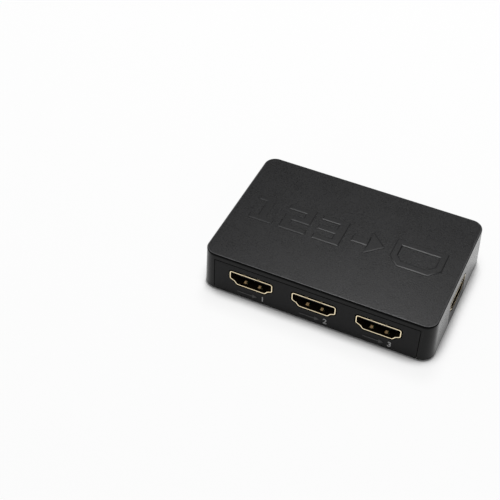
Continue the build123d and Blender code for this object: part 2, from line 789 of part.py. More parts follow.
# Bulk capacitors: aluminium can on a moulded base with two cut corners
with BuildPart() as capacitor_base:
    with BuildSketch(Plane.XY) as base_outline:
        Rectangle(can_base, can_base)
        chamfer(base_outline.vertices().group_by(Axis.X)[-1], can_base_cut)
    extrude(amount=can_base_height)
with BuildPart() as capacitor_can:
    with BuildSketch(Plane.XY.offset(can_base_height)):
        Circle(can_diameter / 2)
    extrude(amount=can_height - can_base_height)
    chamfer(capacitor_can.edges().sort_by(Axis.Z)[-1], can_edge)
for number in (1, 2):
    place = Location((can_x, can_first_y + (number - 1) * can_pitch, board_z))
    write(capacitor_base.part.moved(place), f"bulk_capacitor_{number}_base")
    write(capacitor_can.part.moved(place), f"bulk_capacitor_{number}_can")

# Small soldered parts beside the switch chip
with BuildPart() as chip_capacitors:
    with BuildSketch(Plane.XY.offset(board_z)):
        with Locations((capacitor_column_x, small_row_y)):
            with GridLocations(capacitor_pitch_x, capacitor_pitch_y, 2, 4):
                Rectangle(small_length, small_width)
    extrude(amount=capacitor_height)
write(chip_capacitors.part, "chip_capacitors")

with BuildPart() as chip_resistors:
    with BuildSketch(Plane.XY.offset(board_z)):
        with Locations((resistor_row_x, small_row_y)):
            with GridLocations(resistor_pitch_x, resistor_pitch_y, 3, 3):
                Rectangle(small_width, small_length)
    extrude(amount=resistor_height)
write(chip_resistors.part, "chip_resistors")
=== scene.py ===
import bpy
import math
from mathutils import Matrix, Vector


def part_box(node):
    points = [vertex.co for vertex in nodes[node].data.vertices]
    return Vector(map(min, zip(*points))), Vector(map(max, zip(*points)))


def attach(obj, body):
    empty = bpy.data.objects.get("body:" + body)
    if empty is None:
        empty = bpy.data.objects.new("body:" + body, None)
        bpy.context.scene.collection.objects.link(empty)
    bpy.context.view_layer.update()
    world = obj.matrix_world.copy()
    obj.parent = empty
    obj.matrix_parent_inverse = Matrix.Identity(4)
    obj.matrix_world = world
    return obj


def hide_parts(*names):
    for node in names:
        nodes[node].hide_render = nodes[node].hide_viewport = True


# Looks of the switch box. All places are in metres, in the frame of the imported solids.
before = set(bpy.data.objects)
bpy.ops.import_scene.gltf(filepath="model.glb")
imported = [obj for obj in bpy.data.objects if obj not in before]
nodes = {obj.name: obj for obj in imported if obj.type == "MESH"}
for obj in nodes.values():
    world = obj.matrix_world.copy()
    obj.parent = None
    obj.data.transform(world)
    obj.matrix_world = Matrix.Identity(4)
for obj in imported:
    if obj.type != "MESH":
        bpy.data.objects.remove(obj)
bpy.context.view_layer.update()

MM = 0.001
LEAN = math.radians(2.0)          # how far the walls lean inwards
BASE_Z = 0.8 * MM                 # lower edge of the case
ROOF_Z = 15.2 * MM
FINGER_Z = 5.8                    # millimetres up, where a socket's floor fingers start
FINGER_X = 2.42                   # millimetres from a socket's middle to a floor finger's
HALF_WIDTH = 25.85 * MM           # of the case at its lower edge
INPUTS = ("input_1", "input_2", "input_3")
SOCKETS = INPUTS + ("output",)
PAINTED_EDGE_HIGHLIGHT = (0.10, 0.10, 0.103)      # colour of the painted highlight along the roof's edge and the sign's near edges
RIM_BAND = 0.2                    # millimetres of a panel's upper edge painted near black as painted shade, which widens its seam
WALL_POLISH = 0.22                # how much less rough the case's walls are than its roof
ROOF_MM = ROOF_Z / MM             # the roof's height in the finishes, which count in millimetres
# near-black colours of painted shade
SHADE_BLACK = (0.001, 0.001, 0.001)
PAINTED_BAND_BLACK = (0.002, 0.002, 0.002)


# Materials

class Wire:
    """One value in a finish; sums of wires add Math nodes."""

    def __init__(self, finish, socket):
        self.finish = finish
        self.socket = socket

    def math(self, operation, *values):
        return self.finish.node("ShaderNodeMath", {"operation": operation}, dict(enumerate(values)))

    def __add__(self, other):
        return self.math("ADD", self, other)

    def __radd__(self, other):
        return self.math("ADD", other, self)

    def __sub__(self, other):
        return self.math("SUBTRACT", self, other)

    def __rsub__(self, other):
        return self.math("SUBTRACT", other, self)

    def __mul__(self, other):
        return self.math("MULTIPLY", self, other)

    def __rmul__(self, other):
        return self.math("MULTIPLY", other, self)

    def __abs__(self):
        return self.math("ABSOLUTE", self)

    def __mod__(self, other):
        return self.math("FLOORED_MODULO", self, other)


class Finish:
    """One material, built from nodes; its pattern coordinates are the object's own, in millimetres."""

    def __init__(self, name):
        self.material = bpy.data.materials.new(name)
        self.material.use_nodes = True
        self.tree = self.material.node_tree
        self.tree.nodes.clear()
        self.end = self.tree.nodes.new("ShaderNodeOutputMaterial")
        place = self.node("ShaderNodeTexCoord", {}, {}, "Object")
        self.here = self.node("ShaderNodeMapping", {}, {0: place, "Scale": (1000, 1000, 1000)})

    def node(self, kind, settings, feeds, out=0):
        """Adds a node with its settings, then gives its sockets their values or wires."""
        made = self.tree.nodes.new(kind)
        for name, value in settings.items():
            setattr(made, name, value)
        for socket, value in feeds.items():
            if isinstance(value, Wire):
                self.tree.links.new(value.socket, made.inputs[socket])
            else:
                made.inputs[socket].default_value = value
        return Wire(self, made.outputs[out])

    def axes(self, vector=None):
        """The three numbers of a vector, or of the place itself."""
        split = self.node("ShaderNodeSeparateXYZ", {}, {0: vector or self.here})
        made = split.socket.node
        return [Wire(self, made.outputs[index]) for index in range(3)]

    def facing(self):
        """The three numbers of the way that the surface looks."""
        return self.axes(self.node("ShaderNodeTexCoord", {}, {}, "Normal"))

    def noise(self, scale, detail=2.0, rough=0.5, vector=None):
        """Cloudy pattern from 0 to 1, with so many patches to a millimetre."""
        return self.node(
            "ShaderNodeTexNoise", {},
            {"Vector": vector or self.here, "Scale": scale, "Detail": detail, "Roughness": rough},
        )

    def cells(self, scale):
        """Distance pattern of scattered cells."""
        return self.node("ShaderNodeTexVoronoi", {}, {"Vector": self.here, "Scale": scale}, "Distance")

    def stretched(self, scale):
        """The coordinates drawn out along some axes, for brush lines."""
        return self.node("ShaderNodeMapping", {}, {0: self.here, "Scale": scale})

    def between(self, value, low, high, start=0.0, end=1.0):
        """Goes softly from `start` to `end` while the value goes from `low` to `high`."""
        return self.node(
            "ShaderNodeMapRange", {"interpolation_type": "SMOOTHSTEP"},
            {0: value, 1: low, 2: high, 3: start, 4: end},
        )

    def mix(self, share, first, second):
        """Mixes two colours."""
        colours = {
            socket: colour if isinstance(colour, Wire) else (*colour, 1.0)
            for socket, colour in ((6, first), (7, second))
        }
        return self.node("ShaderNodeMix", {"data_type": "RGBA"}, {0: share, **colours}, 2)

    def mottled(self, share, colour):
        """A colour that goes from a quarter darker to a quarter lighter."""
        darker, lighter = ([scale * part for part in colour] for scale in (0.75, 1.25))
        return self.mix(self.between(share, 0.35, 0.65), darker, lighter)

    def patches(self, least):
        """Wide soft patches from `least` to 1, that break up a painted highlight along edges."""
        return self.between(self.noise(0.25, 3.0, 0.6), 0.25, 0.6, least, 1.0)

    def bump(self, height, depth, strength=1.0):
        """Relief of a height pattern, `depth` millimetres deep."""
        feeds = {"Height": height, "Distance": depth * MM, "Strength": strength}
        return self.node("ShaderNodeBump", {}, feeds)

    def shade(self, **sockets):
        """Ends the finish with a surface; sockets are named with underscores."""
        feeds = {}
        for name, value in sockets.items():
            if "Color" in name and not isinstance(value, Wire):
                value = (*value, 1.0)
            feeds[name.replace("_", " ")] = value
        surface = self.node("ShaderNodeBsdfPrincipled", {}, feeds)
        self.tree.links.new(surface.socket, self.end.inputs["Surface"])
        return self.material


def moulded_black(name, colour, rough, grain_depth, grain_size, shine=0.5, polish_and_painted_light=False, rim=None):
    """Satin black plastic from a spark-eroded mould: fine grain and faint clouds.

    With the case's flag set, its walls are smoother and painted darker as painted shade, a band under the
    roof's edge is painted near black as painted shade, and a painted highlight runs along that edge, in
    patches.
    `rim` is a height over which the plastic is painted near black, a painted shade that widens the seam
    along a panel's upper edge.
    """
    finish = Finish(name)
    grain = finish.noise(1 / grain_size, 3.0, 0.6)
    pits = finish.cells(0.7 / grain_size)
    clouds = finish.noise(0.09, 2.0, 0.55)
    relief = finish.bump(grain + 0.6 * finish.between(pits, 0.1, 0.6), grain_depth)
    shade = finish.mottled(0.85 * grain + 0.15 * clouds, colour)
    dull = finish.between(0.15 * clouds + 0.85 * grain, 0.3, 0.7, rough - 0.09, rough + 0.09)
    painted_shade_band = 0.0
    if polish_and_painted_light:
        height = finish.axes()[2]
        wall = 1 - finish.between(finish.facing()[2], 0.15, 0.75)
        # painted shade: a band under the roof's edge, painted near black
        below = finish.between(height, ROOF_MM - 1.0, ROOF_MM - 0.55)
        painted_shade_band = below * (1 - finish.between(height, ROOF_MM - 0.13, ROOF_MM - 0.09))
        # painted shade: the walls are painted darker than the roof
        shade = finish.mix(0.7 * wall, shade, SHADE_BLACK)
        shade = finish.mix(painted_shade_band, shade, PAINTED_BAND_BLACK)
        dull = dull - WALL_POLISH * wall
        # painted highlight: a pale band just under the roof's flat top, along its edge, in patches
        upper = finish.between(height, ROOF_MM - 0.09, ROOF_MM - 0.03)
        flat = finish.between(height, ROOF_MM - 0.006, ROOF_MM - 0.001)
        shade = finish.mix(upper * (1 - flat) * finish.patches(0.55), shade, PAINTED_EDGE_HIGHLIGHT)
    if rim:
        # painted shade: the panel's upper edge painted near black, which widens its seam
        painted_shade_band = finish.between(finish.axes()[2], rim, rim + 0.05)
        shade = finish.mix(painted_shade_band, shade, PAINTED_BAND_BLACK)
    return finish.shade(
        Base_Color=shade,
        Roughness=dull,
        # metallic black in the painted shade bands, so that they reflect almost nothing
        Metallic=0.8 * painted_shade_band,
        Specular_IOR_Level=shine,
        Normal=relief,
    )


def sign_black(name, colour, rough, shine):
    """The case's black on the raised sign, with a painted highlight on its near edges and painted shade
    on its edges towards the output.
    """
    finish = Finish(name)
    facing = finish.facing()
    grain = finish.noise(3.3, 3.0, 0.6)
    near = finish.between(0 - facing[1], 0.12, 0.5)
    away = finish.between(facing[0], 0.12, 0.5)
    # painted shade: the edges towards the output painted near black and metallic, so that they reflect
    # almost nothing
    shade = finish.mix(0.8 * away, finish.mottled(grain, colour), SHADE_BLACK)
    return finish.shade(
        # painted highlight: the near edges painted pale, in patches
        Base_Color=finish.mix(near * finish.patches(0.5), shade, PAINTED_EDGE_HIGHLIGHT),
        Metallic=0.8 * away,
        Roughness=finish.between(grain, 0.3, 0.7, rough - 0.06, rough + 0.06),
        Specular_IOR_Level=shine,
        Normal=finish.bump(grain, 0.008),
    )


def smooth_black(name, colour, rough, coat=0.0):
    """Polished black plastic with faint flow marks and fine scuffs."""
    finish = Finish(name)
    flow = finish.noise(0.35, 3.0, 0.5)
    scuffs = finish.noise(1.0, 4.0, 0.6, finish.stretched((7.0, 0.6, 2.0)))
    return finish.shade(
        Base_Color=finish.mix(finish.between(flow, 0.35, 0.7), colour, [1.5 * part for part in colour]),
        Roughness=finish.between(0.6 * flow + 0.4 * scuffs, 0.35, 0.65, rough, rough + 0.1),
        Coat_Weight=coat,
        Coat_Roughness=0.12,
        Normal=finish.bump(scuffs, 0.004, 0.6),
    )


def rubber(name):
    """Matt rubber with a dusty bloom and fine pores."""
    finish = Finish(name)
    pores = finish.cells(4.5)
    bloom = finish.noise(0.5, 4.0, 0.6)
    dusty = finish.between(bloom, 0.4, 0.75)
    return finish.shade(
        Base_Color=finish.mix(dusty, (0.016, 0.016, 0.016), (0.034, 0.033, 0.031)),
        Roughness=finish.between(bloom, 0.3, 0.7, 0.72, 0.88),
        Specular_IOR_Level=0.35,
        Normal=finish.bump(pores + 0.5 * finish.noise(9.0), 0.02),
    )


def plated(name, colour, shadow, rough, brush):
    """Plated or drawn metal: fine brush lines, and darker where the plating is thin."""
    finish = Finish(name)
    lines = finish.noise(1.0, 3.0, 0.6, finish.stretched(brush))
    stain = finish.noise(0.45, 3.0, 0.55)
    return finish.shade(
        Base_Color=finish.mix(finish.between(stain, 0.35, 0.75), colour, shadow),
        Metallic=1.0,
        Roughness=finish.between(0.5 * lines + 0.5 * stain, 0.3, 0.7, rough - 0.05, rough + 0.08),
        Normal=finish.bump(lines, 0.003, 0.5),
    )


def socket_plate(name, axis, inwards, mouth, middle):
    """Gold plate of a socket: gold on the lip, the fingers' crowns and the ceiling, and further in
    painted near black as painted shade.

    The socket runs `inwards` along an axis from its mouth, and its middle lies on the other level axis.
    """
    finish = Finish(name)
    place = finish.axes()
    depth = inwards * (place[axis] - mouth)
    across = abs(place[1 - axis] - middle)
    lines = finish.noise(1.0, 3.0, 0.6, finish.stretched((6.0, 6.0, 9.0)))
    stain = finish.noise(0.45, 3.0, 0.55)
    lip = 1 - finish.between(depth, 0.02, 0.10)
    raised = finish.between(place[2], FINGER_Z + 0.06, FINGER_Z + 0.2)
    crown = 1 - finish.between(abs(across - FINGER_X), 0.36, 0.48)
    finger = raised * crown * (1 - finish.between(depth, 1.7, 2.1))
    high_up = finish.between(place[2], FINGER_Z + 3.0, FINGER_Z + 3.2)
    ceiling = high_up * finish.between(0 - finish.facing()[2], 0.5, 0.8)
    bright = lip.math("MAXIMUM", lip.math("MAXIMUM", lip, finger), ceiling)
    dull = finish.between(0.5 * lines + 0.5 * stain, 0.3, 0.7, 0.17, 0.3)
    plate = finish.mix(finish.between(stain, 0.35, 0.75), (1.0, 0.87, 0.61), (0.97, 0.80, 0.51))
    # the plate turns a deeper orange further in
    plate_by_depth = finish.mix(finish.between(depth, 0.3, 0.8), plate, (1.0, 0.74, 0.42))
    return finish.shade(
        # painted shade: away from the lip, the fingers' crowns and the ceiling, the plate is painted near
        # black, less metallic and rougher
        Base_Color=finish.mix(bright, (0.016, 0.011, 0.006), plate_by_depth),
        Metallic=0.5 + 0.5 * bright - 0.5 * finger,
        Specular_IOR_Level=0.2,
        Roughness=dull + 0.3 * (1 - bright + finger),
        Normal=finish.bump(lines, 0.003, 0.5),
    )


def solder_mask(name):
    """Circuit board: green mask over copper tracks, a ground area with a fine hatch, and tan edges."""
    finish = Finish(name)
    x, y, _ = finish.axes()
    top = finish.between(abs(finish.facing()[2]), 0.4, 0.6)
    wander = finish.noise(0.16, 0.0, 0.0)
    slanted = finish.between(wander, 0.49, 0.51)
    along = finish.between(abs((x + 0.35 * y) % 1.1 - 0.55), 0.14, 0.2)
    across = finish.between(abs((y - 0.3 * x) % 0.9 - 0.45), 0.12, 0.18)
    tracks = along * slanted + across * (1 - slanted)
    area = finish.between(finish.noise(0.11, 1.0, 0.4), 0.5, 0.51)
    copper = area.math("MAXIMUM", 1 - tracks, area)
    weave = finish.noise(3.5, 2.0, 0.5)
    green = finish.mix(copper, (0.003, 0.026, 0.013), (0.007, 0.060, 0.026))
    edge = finish.mix(finish.noise(2.0), (0.30, 0.27, 0.13), (0.42, 0.38, 0.22))
    return finish.shade(
        Base_Color=finish.mix(top, edge, green),
        Roughness=finish.between(weave, 0.3, 0.7, 0.28, 0.42),
        Normal=finish.bump(copper + 0.15 * weave, 0.03, 0.7),
    )


def moulded_chip(name, middle, half, dot):
    """Chip: matt moulded body with a pin mark, and tinned leads beyond `half` from its middle line."""
    finish = Finish(name)
    x, y, _ = finish.axes()
    leads = finish.between(abs(y - middle), half - 0.02, half + 0.02)
    away = finish.node(
        "ShaderNodeVectorMath", {"operation": "DISTANCE"},
        {0: finish.node("ShaderNodeCombineXYZ", {}, {0: x, 1: y}), 1: (*dot, 0.0)}, "Value",
    )
    mark = finish.between(away, 0.28, 0.36)
    grit = finish.noise(6.0, 3.0, 0.6)
    body = finish.mix(grit, (0.012, 0.012, 0.013), (0.024, 0.024, 0.025))
    return finish.shade(
        Base_Color=finish.mix(leads, body, (0.68, 0.68, 0.66)),
        Metallic=leads,
        Roughness=finish.between(grit, 0.2, 0.8, 0.5, 0.62) - 0.22 * leads,
        Normal=finish.bump(mark + 0.12 * grit, 0.03, 0.8),
    )


def ended(name, across, middle, pitch, colour, shadow):
    """Small soldered parts in rows: fired bodies with tinned caps at both ends along one axis."""
    finish = Finish(name)
    place = finish.axes()[across]
    from_middle = abs((place - middle + pitch / 2) % pitch - pitch / 2)
    caps = finish.between(from_middle, 0.47, 0.53)
    speck = finish.noise(5.0, 3.0, 0.6)
    return finish.shade(
        Base_Color=finish.mix(caps, finish.mix(speck, colour, shadow), (0.7, 0.69, 0.66)),
        Metallic=caps,
        Roughness=finish.between(speck, 0.3, 0.7, 0.4, 0.55) - 0.15 * caps,
        Normal=finish.bump(speck, 0.008, 0.6),
    )


def drawn_can(name):
    """Aluminium capacitor can: satin sides, and a dark printed segment on its top."""
    finish = Finish(name)
    x, _, z = finish.axes()
    top = finish.between(z, 10.6, 10.75)
    segment = finish.between(x, -19.53, -19.47) * top
    rings = finish.noise(1.0, 3.0, 0.6, finish.stretched((0.8, 0.8, 14.0)))
    return finish.shade(
        Base_Color=finish.mix(segment, (0.8, 0.8, 0.81), (0.02, 0.02, 0.022)),
        Metallic=1 - segment,
        Roughness=finish.between(rings, 0.3, 0.7, 0.24, 0.36) + 0.2 * segment,
        Normal=finish.bump(rings, 0.004, 0.6),
    )


def clear_tinted(name, colour, rough):
    """Tinted clear plastic with faint flow lines."""
    finish = Finish(name)
    flow = finish.noise(0.8, 3.0, 0.5)
    return finish.shade(
        Base_Color=finish.mix(flow, colour, [0.6 * part for part in colour]),
        Roughness=finish.between(flow, 0.3, 0.7, rough, rough + 0.07),
        Transmission_Weight=0.35,
        IOR=1.52,
        Normal=finish.bump(flow, 0.01, 0.4),
    )


CASE_COLOUR = (0.0095, 0.0095, 0.010)
case_black = moulded_black("case_black_moulded", CASE_COLOUR, 0.32, 0.022, 0.36, 0.15, polish_and_painted_light=True)
raised_black = sign_black("sign_black_moulded", CASE_COLOUR, 0.32, 0.15)
# height from which the panel's upper edge is painted near black as painted shade
panel_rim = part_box("bottom_cover")[1].z / MM - RIM_BAND
panel_black = moulded_black(
    "panel_black_moulded", (0.009, 0.009, 0.0095), 0.40, 0.012, 0.24, 0.12, rim=panel_rim
)
# the raised numbers are painted light grey as a painted highlight; the raised arrows are dark grey
number_grey = moulded_black("number_grey_painted_highlight", (0.42, 0.42, 0.42), 0.5, 0.008, 0.2)
arrow_grey = moulded_black("arrow_grey_raised", (0.035, 0.035, 0.035), 0.5, 0.008, 0.2)
button_black = smooth_black("button_black_satin", (0.013, 0.013, 0.014), 0.34)
rubber_black = rubber("foot_rubber")
screw_black = plated(
    "screw_blackened", (0.05, 0.05, 0.053), (0.024, 0.024, 0.026), 0.36, (9.0, 9.0, 1.5)
)
contact_gold = plated(
    "contact_gold_plated", (0.95, 0.72, 0.36), (0.82, 0.58, 0.27), 0.16, (12.0, 1.0, 4.0)
)
insulator_black = moulded_black("insulator_black_moulded", (0.011, 0.011, 0.012), 0.42, 0.004, 0.15)
lead_tin = plated("lead_tinned", (0.72, 0.72, 0.70), (0.5, 0.5, 0.48), 0.3, (6.0, 6.0, 2.0))
crystal_steel = plated(
    "crystal_drawn_steel", (0.66, 0.66, 0.67), (0.5, 0.5, 0.5), 0.26, (1.0, 12.0, 8.0)
)
pin_nickel = plated("pin_nickel_plated", (0.75, 0.73, 0.69), (0.6, 0.58, 0.54), 0.14, (1.0, 9.0, 9.0))
jack_black = smooth_black("jack_black_moulded", (0.014, 0.014, 0.015), 0.26)
switch_black = smooth_black("switch_black_moulded", (0.018, 0.018, 0.018), 0.38)
base_black = smooth_black("capacitor_base_moulded", (0.014, 0.014, 0.015), 0.42)
receiver_dark = smooth_black("receiver_dark_epoxy", (0.014, 0.011, 0.013), 0.12, 0.5)
window_dark = clear_tinted("window_dark_tinted", (0.020, 0.003, 0.005), 0.05)
lamp_green = clear_tinted("lamp_green_diffused", (0.30, 0.72, 0.36), 0.18)
board_green = solder_mask("board_green_mask")

dresses = {
    "top_cover": case_black,
    "bottom_cover": panel_black,
    "case_screws": screw_black,
    "circuit_board": board_green,
    "select_button": button_black,
    "switch_plunger": switch_black,
    "switch_body": switch_black,
    "switch_bracket": lead_tin,
    "lamp_leads": lead_tin,
    "receiver_leads": lead_tin,
    "receiver": receiver_dark,
    "receiver_window": window_dark,
    "audio_jack_housing": jack_black,
    "power_jack_housing": jack_black,
    "audio_jack_contacts": lead_tin,
    "power_jack_contacts": lead_tin,
    "power_jack_pin": pin_nickel,
    "crystal": crystal_steel,
    "switch_chip": moulded_chip("switch_chip_moulded", -2.0, 9.0, (5.2, 1.2)),
    "control_chip": moulded_chip("control_chip_moulded", 7.0, 1.95, (-16.5, 5.9)),
    "regulator": moulded_chip("regulator_moulded", -4.0, 1.75, (-22.4, -5.0)),
    "chip_capacitors": ended("capacitors_fired", 0, 8.3, 2.6, (0.46, 0.31, 0.17), (0.34, 0.22, 0.12)),
    "chip_resistors": ended("resistors_glazed", 1, -2.0, 3.2, (0.02, 0.02, 0.023), (0.04, 0.04, 0.044)),
}
for number in (1, 2):
    dresses[f"bulk_capacitor_{number}_base"] = base_black
    dresses[f"bulk_capacitor_{number}_can"] = drawn_can(f"capacitor_{number}_can")
for number in (1, 2, 3):
    dresses[f"lamp_{number}"] = lamp_green
for number in (1, 2, 3, 4):
    dresses[f"foot_{number}"] = rubber_black
shell_gold = {}
for socket in SOCKETS:
    low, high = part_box(f"{socket}_shell")
    middle = (low + high) / 2 / MM
    finish_name = f"{socket}_gold_plated"
    if socket == "output":
        shell_gold[socket] = socket_plate(finish_name, 0, -1, high.x / MM, middle.y)
    else:
        shell_gold[socket] = socket_plate(finish_name, 1, 1, low.y / MM, middle.x)
    dresses[f"{socket}_shell"] = shell_gold[socket]
    dresses[f"{socket}_insulator"] = insulator_black
    dresses[f"{socket}_contacts"] = contact_gold


def dress(piece, material):
    """Gives a piece one material all over."""
    piece.data.materials.clear()
    piece.data.materials.append(material)


for name, piece in nodes.items():
    dress(piece, dresses[name])


# Modelling by hand

def pick_nothing():
    """Leaves every object out of the selection."""
    bpy.ops.object.select_all(action="DESELECT")


def hold(piece):
    """Selects one object and makes it the active one."""
    pick_nothing()
    piece.select_set(True)
    bpy.context.view_layer.objects.active = piece


def edit(piece, mode):
    """Opens a piece in edit mode with nothing selected."""
    hold(piece)
    bpy.ops.object.mode_set(mode="EDIT")
    bpy.ops.mesh.select_mode(type=mode)
    bpy.ops.mesh.select_all(action="DESELECT")
    bpy.ops.object.mode_set(mode="OBJECT")


def pick_faces(piece, wanted):
    """Selects the faces of a piece that `wanted` agrees to, and goes on in edit mode."""
    edit(piece, "FACE")
    for face in piece.data.polygons:
        face.select = wanted(face)
    bpy.ops.object.mode_set(mode="EDIT")


def pick_edges(piece, wanted):
    """Selects the edges of a piece whose two ends `wanted` agrees to, and goes on in edit mode."""
    edit(piece, "EDGE")
    points = piece.data.vertices
    for edge in piece.data.edges:
        edge.select = wanted(points[edge.vertices[0]].co, points[edge.vertices[1]].co)
    bpy.ops.object.mode_set(mode="EDIT")


def leave():
    """Goes back from edit mode."""
    bpy.ops.object.mode_set(mode="OBJECT")


def settle(piece, name, material, body, smooth=35):
    """Finishes a piece: its place goes into its mesh, and it gets its name, finish and body."""
    hold(piece)
    bpy.ops.object.transform_apply(location=True, rotation=True, scale=True)
    bpy.ops.object.mode_set(mode="EDIT")
    bpy.ops.mesh.select_all(action="SELECT")
    bpy.ops.mesh.remove_doubles(threshold=0.0005 * MM)
    bpy.ops.mesh.normals_make_consistent(inside=False)
    leave()
    bpy.ops.object.shade_smooth_by_angle(angle=math.radians(smooth))
    piece.name = name
    dress(piece, material)
    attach(piece, body)


def joined(first, others):
    """Makes one piece of several."""
    hold(first)
    for other in others:
        other.select_set(True)
    bpy.ops.object.join()
    return first


def start_round(radius, depth, vertices, turned=(0, 0, 0)):
    """A disc or rod that stands on the origin, along Z or turned from it; the start of a round piece."""
    pick_nothing()
    bpy.ops.mesh.primitive_cylinder_add(vertices=vertices, radius=radius, depth=depth, location=(0, 0, 0))
    made = bpy.context.active_object
    made.data.transform(Matrix.Translation((0, 0, depth / 2)))
    made.rotation_euler = turned
    bpy.ops.object.transform_apply(location=True, rotation=True, scale=True)
    return made


def end_face(axis, level, side):
    """Agrees to the faces across an axis at a level, that look to the given side."""
    return lambda face: abs(face.center[axis] - level) < 0.001 * MM and side * face.normal[axis] > 0.9


def end_rim(axis, level):
    """Agrees to the edges that lie at a level of an axis."""
    return lambda a, b: max(abs(a[axis] - level), abs(b[axis] - level)) < 0.001 * MM


def copies(made, places):
    """Copies of a piece moved to their places, each with a mesh of its own; the first piece goes."""
    spread = []
    for place in places:
        twin = made.copy()
        twin.data = made.data.copy()
        bpy.context.scene.collection.objects.link(twin)
        twin.data.transform(Matrix.Translation(place))
        spread.append(twin)
    bpy.data.objects.remove(made)
    return spread


def flat_arrow(stem, width, spread, head):
    """A flat arrow along X: a stem about the origin, whose end is widened and drawn to a point."""
    pick_nothing()
    bpy.ops.mesh.primitive_plane_add(size=1, location=(0, 0, 0))
    arrow = bpy.context.active_object
    arrow.scale = (stem, width, 1)
    bpy.ops.object.transform_apply(location=True, rotation=True, scale=True)
    pick_edges(arrow, lambda a, b: min(a.x, b.x) > 0.4 * stem)
    bpy.ops.mesh.extrude_region_move(TRANSFORM_OT_translate={"value": (0, 0, 0)})
    bpy.ops.transform.resize(value=(1, spread, 1), center_override=(stem / 2, 0, 0))
    bpy.ops.mesh.extrude_region_move(TRANSFORM_OT_translate={"value": (head, 0, 0)})
    bpy.ops.mesh.merge(type="CENTER")
    leave()
    return arrow


# Sign on the roof: three numbers, an arrow and the outline of a socket's mouth
SIGN_Y = 0.5 * MM
SIGN_HEIGHT = 11.6 * MM
SIGN_RISE = 0.12 * MM
SIGN_SINK = 0.1 * MM
SIGN_ARROW = (0.52, 0.32, 3.1, 0.48)  # stem, its width, how much wider the head is, and its length
SIGN_ARROW_HEIGHT = 10.0 * MM
SLOPE_WIDTH = 0.36 * MM
SLOPE_RISE = 0.08 * MM
MOUTH_HEIGHT = 0.66               # of the mouth's outline, as a share of its width
MOUTH_CUT = 0.2
MOUTH_FRAME = 0.14
SIGN_SPANS = {                    # where each figure starts and ends along the roof
    "one": (-32.2 * MM, -24.0 * MM),
    "two": (-21.6 * MM, -12.4 * MM),
    "three": (-10.0 * MM, -0.8 * MM),
    "arrow": (1.8 * MM, 12.8 * MM),
    "mouth": (15.2 * MM, 32.3 * MM),
}
FIGURES = {
    "one": ("##.", ".#.", ".#.", ".#.", "###"),
    "two": ("###", "..#", "###", "#..", "###"),
    "three": ("###", "..#", "###", "..#", "###"),
}


def raise_sign(flat):
    """Raises a flat figure to the sign's height, with a shallow slope all round its top."""
    pick_faces(flat, lambda face: True)
    bpy.ops.mesh.extrude_region_move(TRANSFORM_OT_translate={"value": (0, 0, SIGN_RISE + SIGN_SINK)})
    bpy.ops.mesh.inset(thickness=SLOPE_WIDTH, depth=SLOPE_RISE, use_even_offset=True)
    leave()


def sign_figure(rows):
    """A flat block figure of unit size: a grid that keeps the cells marked in the rows, top row first."""
    pick_nothing()
    across, down = len(rows[0]), len(rows)
    bpy.ops.mesh.primitive_grid_add(
        x_subdivisions=across, y_subdivisions=down, size=1, location=(0, 0, 0)
    )
    figure = bpy.context.active_object
    pick_faces(
        figure,
        lambda face: rows[int((0.5 - face.center.y) * down)][int((face.center.x + 0.5) * across)] == ".",
    )
    bpy.ops.mesh.delete(type="FACE")
    leave()
    return figure


def sign_mouth():
    """A flat frame in the outline of a socket's mouth: a plate with two cut corners, inset and opened."""
    pick_nothing()
    bpy.ops.mesh.primitive_plane_add(size=1, location=(0, 0, 0))
    outline = bpy.context.active_object
    outline.scale = (1, MOUTH_HEIGHT, 1)
    bpy.ops.object.transform_apply(location=True, rotation=True, scale=True)
    edit(outline, "VERT")
    for point in outline.data.vertices:
        point.select = point.co.y < 0
    bpy.ops.object.mode_set(mode="EDIT")
    bpy.ops.mesh.bevel(offset=MOUTH_CUT, segments=1, affect="VERTICES")
    leave()
    pick_faces(outline, lambda face: True)
    bpy.ops.mesh.inset(thickness=MOUTH_FRAME, depth=0)
    bpy.ops.mesh.delete(type="FACE")
    leave()
    return outline


def place_sign(flat, name, height=SIGN_HEIGHT):
    """Scales a flat figure to its span and height on the roof, and raises it."""
    low, high = SIGN_SPANS[name]
    spread = [[point.co[axis] for point in flat.data.vertices] for axis in (0, 1)]
    sizes = [max(values) - min(values) for values in spread]
    middles = [(max(values) + min(values)) / 2 for values in spread]
    scale = Matrix.Diagonal(((high - low) / sizes[0], height / sizes[1], 1, 1))
    flat.data.transform(scale @ Matrix.Translation((-middles[0], -middles[1], 0)))
    flat.data.transform(Matrix.Translation((0, 0, -SIGN_SINK)))
    raise_sign(flat)
    flat.data.transform(Matrix.Translation(((low + high) / 2, SIGN_Y, ROOF_Z)))
    return flat


signs = [place_sign(sign_figure(rows), name) for name, rows in FIGURES.items()]
signs.append(place_sign(flat_arrow(*SIGN_ARROW), "arrow", SIGN_ARROW_HEIGHT))
signs.append(place_sign(sign_mouth(), "mouth"))
settle(joined(signs[0], signs[1:]), "roof_sign", raised_black, "case", 10)

# Case screws: pan heads with a cross recess below, and a thread that bites into the roof's bosses
HEAD_RADIUS = 1.9 * MM
HEAD_HEIGHT = 1.4 * MM
HEAD_ROUND = 0.6 * MM
CROSS_WIDTH = 0.56 * MM
CROSS_ARM = 0.78 * MM
CROSS_DEPTH = 0.95 * MM
CROSS_TAPER = 0.55                # width of the recess at its inner end, as a share of the outer
CORE_RADIUS = 0.76 * MM
POINT_LENGTH = 0.6 * MM
POINT_SHARE = 0.25                # radius of the blunt tip, as a share of the core's
THREAD_RADIUS = 0.99 * MM
THREAD_SIZE = 0.2 * MM
THREAD_START = 0.35 * MM
THREAD_PITCH = 0.8 * MM
THREAD_TURNS = 8


